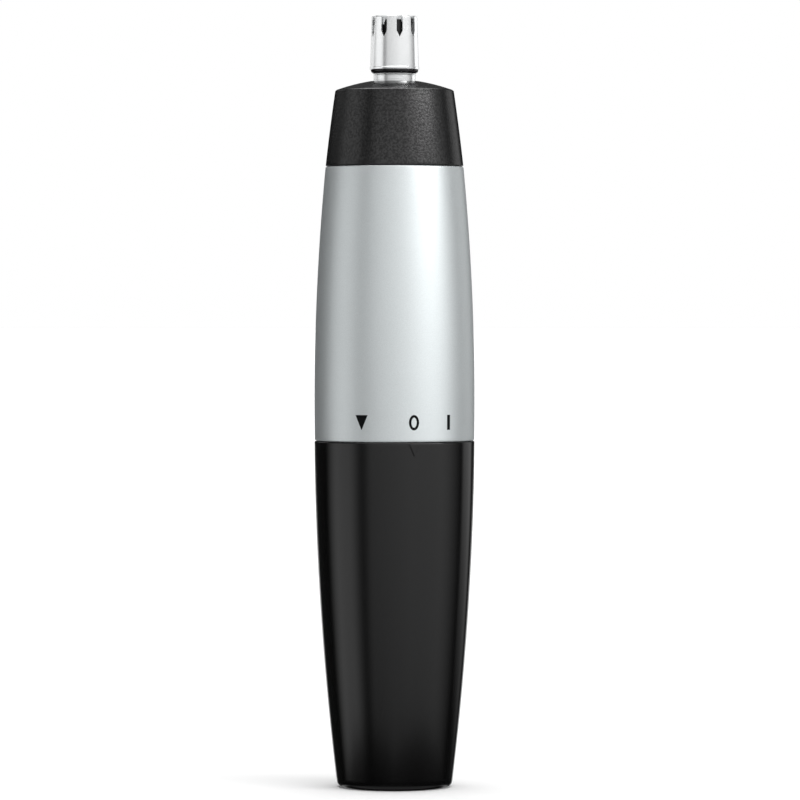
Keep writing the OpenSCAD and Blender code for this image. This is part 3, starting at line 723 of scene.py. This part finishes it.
def outer_cutter():
    """The slotted cup, with a rolled lip at its rim and a shallow dimple in its top."""
    inner_top = TIP - CUTTER_WALL
    dimple_r, dimple_floor_r, dimple_z = 1.1, 0.8, TIP - 0.12
    outline = rounded([
        (CUTTER_LOW_R - CUTTER_WALL, CUTTER_LOW, 0.05),
        (CUTTER_LOW_R + CUTTER_LIP, CUTTER_LOW, 0.06),
        (CUTTER_LOW_R + CUTTER_LIP, CUTTER_LOW + 0.34, 0.06),
        (cutter_side(CUTTER_LOW + 0.44), CUTTER_LOW + 0.44, 0.06),
    ] + side_points(cutter_side, CUTTER_LOW + 0.6, TIP - 0.4, 24) + [
        (CUTTER_HIGH_R, TIP, 0.28), (dimple_r, TIP, 0.1), (dimple_floor_r, dimple_z, 0.1), (0, dimple_z),
        (0, inner_top), (cutter_side(inner_top) - CUTTER_WALL, inner_top, 0.1),
    ], 6)
    cup = lathe("cutter_cup", outline, 252)
    half = SLOT_W / 2
    slot = [(-half, TIP + 1), (-half, TIP - SLOT_SHOULDER_DROP), (0, TIP - SLOT_TIP_DROP),
            (half, TIP - SLOT_SHOULDER_DROP), (half, TIP + 1)]
    bm = bmesh.new()
    for i in range(SLOT_COUNT):
        prism(bm, slot, FRONT + SLOT_TURN + i * 360 / SLOT_COUNT, SLOT_REACH_R, CUTTER_LOW_R + 1)
    cup = cut(cup, to_object(bm, "slot_cutter"))
    bevel_edges(cup, 0.03)
    return stand_for(cup, "outer_cutter", "head")


def cutter_spring():
    """The blade spring as a smooth wire."""
    low, high = low_z("cutter_spring"), high_z("cutter_spring")
    wire, coil_r, turns, per_turn, sides = 0.17, 2.2, 5, 48, 14
    bm = bmesh.new()
    rings = []
    for i in range(turns * per_turn + 1):
        angle = 2 * math.pi * i / per_turn
        middle = low + wire + (high - low - 2 * wire) * i / (turns * per_turn)
        ring = []
        for k in range(sides):
            around = 2 * math.pi * k / sides
            r = coil_r + wire * math.cos(around)
            z = middle + wire * math.sin(around)
            ring.append(bm.verts.new((r * MM * math.cos(angle), r * MM * math.sin(angle), z * MM)))
        rings.append(ring)
    for a, b in zip(rings, rings[1:]):
        for k in range(sides):
            m = (k + 1) % sides
            bm.faces.new((a[k], a[m], b[m], b[k]))
    bm.faces.new(rings[0])
    bm.faces.new(rings[-1])
    spring = stand_for(to_object(bm, "blade_spring", 60), "cutter_spring", "cutter")
    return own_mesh(spring)


# ---------- the studio ----------

def floor():
    bpy.ops.mesh.primitive_plane_add(size=30)
    plane = bpy.context.object
    plane.name = "floor"
    m = Nodes("pale_floor", (0.93, 0.93, 0.93), 0.9)
    m.tone(m.noise(40, 2), 0.995, 1.0)
    plane.data.materials.append(m.material)
    plane.visible_glossy = False


def head_lights(*pieces):
    """Soft lights beside and behind the head that fill the edges of its bright metal only."""
    group = bpy.data.collections.new("bright_metal")
    for piece in pieces:
        group.objects.link(piece)
    size, distance = 0.5, 0.5
    aim = Vector((0, 0, (CUTTER_LOW + TIP) / 2 * MM))
    for turn, strength in ((-140, 0.9), (140, 0.9), (-84, 0.45)):
        lamp = bpy.data.lights.new("head_light", "AREA")
        lamp.size = size
        lamp.energy = math.pi * size * size * strength
        made = add_object("head_light", lamp)
        across = Matrix.Rotation(math.radians(turn), 3, "Z") @ Vector((0, -distance, 0))
        made.location = aim + across
        made.rotation_euler = (-across).to_track_quat("-Z", "Y").to_euler()
        made.visible_camera = False
        made.light_linking.receiver_collection = group


def camera():
    """Looks level at the front from far away, from a little above the middle of the trimmer."""
    height = cad_bounds[1].z
    distance = 6.615 * height
    view_width = 1.0385 * height
    aside = 0.0071 * height
    eye = Vector((aside, -distance, 0.628 * height))
    target = Vector((aside, 0, 0.5023 * height))
    data = bpy.data.cameras.new("camera")
    data.sensor_width = 36
    data.lens = data.sensor_width * distance / view_width
    data.clip_start, data.clip_end = 0.01, 100
    made = add_object("camera", data)
    made.location = eye
    made.rotation_mode = "QUATERNION"
    made.rotation_quaternion = (target - eye).to_track_quat("-Z", "Y")
    bpy.context.scene.camera = made


class Studio(Graph):
    """A white studio with soft panels round the trimmer, painted on the world by direction.

    Directions are in degrees: turn goes from the front towards the right, away is its size, and rise
    is the height above level.
    """

    def __init__(self):
        world = bpy.data.worlds.new("studio")
        bpy.context.scene.world = world
        world.use_nodes = True
        self.tree = world.node_tree
        self.tree.nodes.clear()
        place = self.add("ShaderNodeTexCoord").outputs["Generated"]
        split = self.add("ShaderNodeSeparateXYZ")
        self.link(place, split.inputs[0])
        x, y, z = split.outputs
        degrees = 180 / math.pi
        self.turn = self.math("MULTIPLY", self.math("ARCTAN2", x, self.math("MULTIPLY", y, -1)), degrees)
        self.away = self.math("ABSOLUTE", self.turn)
        self.rise = self.math("MULTIPLY", self.math("ARCSINE", z), degrees)
        self.total = 0.0

    def band(self, value, start, end, soft):
        rise = self.ramp(value, start - soft, start + soft)
        fall = self.ramp(value, end - soft, end + soft, 1.0, 0.0)
        return self.math("MULTIPLY", rise, fall)

    def panel(self, strength, *shares):
        """Adds light of a strength, shaped by the product of the given maps."""
        amount = strength
        for share in shares:
            amount = self.math("MULTIPLY", share, amount)
        self.total = self.math("ADD", amount, self.total)

    def close(self, background):
        """The camera sees a plain white backdrop; everything else sees the panels."""
        panels = self.add("ShaderNodeBackground")
        panels.inputs["Color"].default_value = (1, 1, 1, 1)
        self.link(self.total, panels.inputs["Strength"])
        backdrop = self.add("ShaderNodeBackground")
        backdrop.inputs["Color"].default_value = (1, 1, 1, 1)
        backdrop.inputs["Strength"].default_value = background
        mix = self.add("ShaderNodeMixShader")
        output = self.add("ShaderNodeOutputWorld")
        self.link(self.add("ShaderNodeLightPath").outputs["Is Camera Ray"], mix.inputs[0])
        self.link(panels.outputs[0], mix.inputs[1])
        self.link(backdrop.outputs[0], mix.inputs[2])
        self.link(mix.outputs[0], output.inputs["Surface"])


def light_studio():
    s = Studio()
    # panels end a little below the horizon, sooner to the sides, and grow brighter upwards
    drop = s.math("SUBTRACT", s.rise, s.math("MULTIPLY", s.away, 0.042))
    level = s.math("MULTIPLY", s.ramp(drop, -18.3, -17.3), s.ramp(s.rise, 30, 22))
    climb = s.ramp(s.rise, -17, 12, 0.55, 1.15, "LINEAR")
    # a wide front panel, brighter towards the right, that fades out past the key
    s.panel(0.95, s.ramp(s.turn, -54, -31), s.ramp(s.turn, 118, 68),
            s.ramp(s.turn, -42, 25, 0.66, 1.0, "LINEAR"), level, climb)
    # a panel on the left, past a dark gap
    s.panel(0.9, s.ramp(s.turn, -119, -90), s.ramp(s.turn, -42, -72), level, s.ramp(s.rise, -5, 3, 1, 0.78))
    # a high key on the right, growing to its right edge, and a softer one above it
    s.panel(10.5, s.ramp(s.turn, 22, 78, 0, 1, "LINEAR"), s.ramp(s.turn, 79, 75), s.band(s.rise, 19, 32, 2))
    s.panel(1.0, s.band(s.turn, 0, 60, 15), s.band(s.rise, 32, 50, 6))
    # a rim strip on the right
    s.panel(0.5, s.band(s.turn, 117, 146, 5), s.ramp(s.rise, -10, -2, kind="LINEAR"),
            s.ramp(s.rise, 30, 22))
    # a low panel behind, under what the collar's dome mirrors, and a high one
    s.panel(0.95, s.ramp(s.away, 157, 163), s.band(s.rise, -15, -3, 2))
    s.panel(1.5, s.ramp(s.away, 100, 135), s.band(s.rise, 42, 60, 5))
    # soft light from behind and above
    s.panel(0.06, s.ramp(s.away, 130, 150), s.band(s.rise, 10, 60, 5))
    s.panel(0.28, s.band(s.turn, -150, -112, 8), s.band(s.rise, 9, 30, 4))
    s.panel(2.9, s.ramp(s.rise, 50, 64))
    # the glow of the pale floor in front and a low panel behind, for cameras that look down
    s.panel(0.3, s.ramp(s.rise, -20, -34), s.ramp(s.away, 120, 90))
    s.panel(0.6, s.ramp(s.away, 95, 135), s.band(s.rise, -31, -22, 3))
    # a little light from everywhere
    s.panel(0.02, s.ramp(s.rise, -90, -60))
    s.close(1.0)
    bpy.context.scene.view_settings.view_transform = "Standard"


# ---------- all of it ----------

dress_cad_nodes()
cover_shell()
cover_pointer()
barrel_shell()
position_marks()
head_collar()
sleeve = neck_tube()
head_bush()
cup = outer_cutter()
cutter_spring()
floor()
camera()
light_studio()
head_lights(sleeve, cup, frame["nodes"]["inner_cutter"])
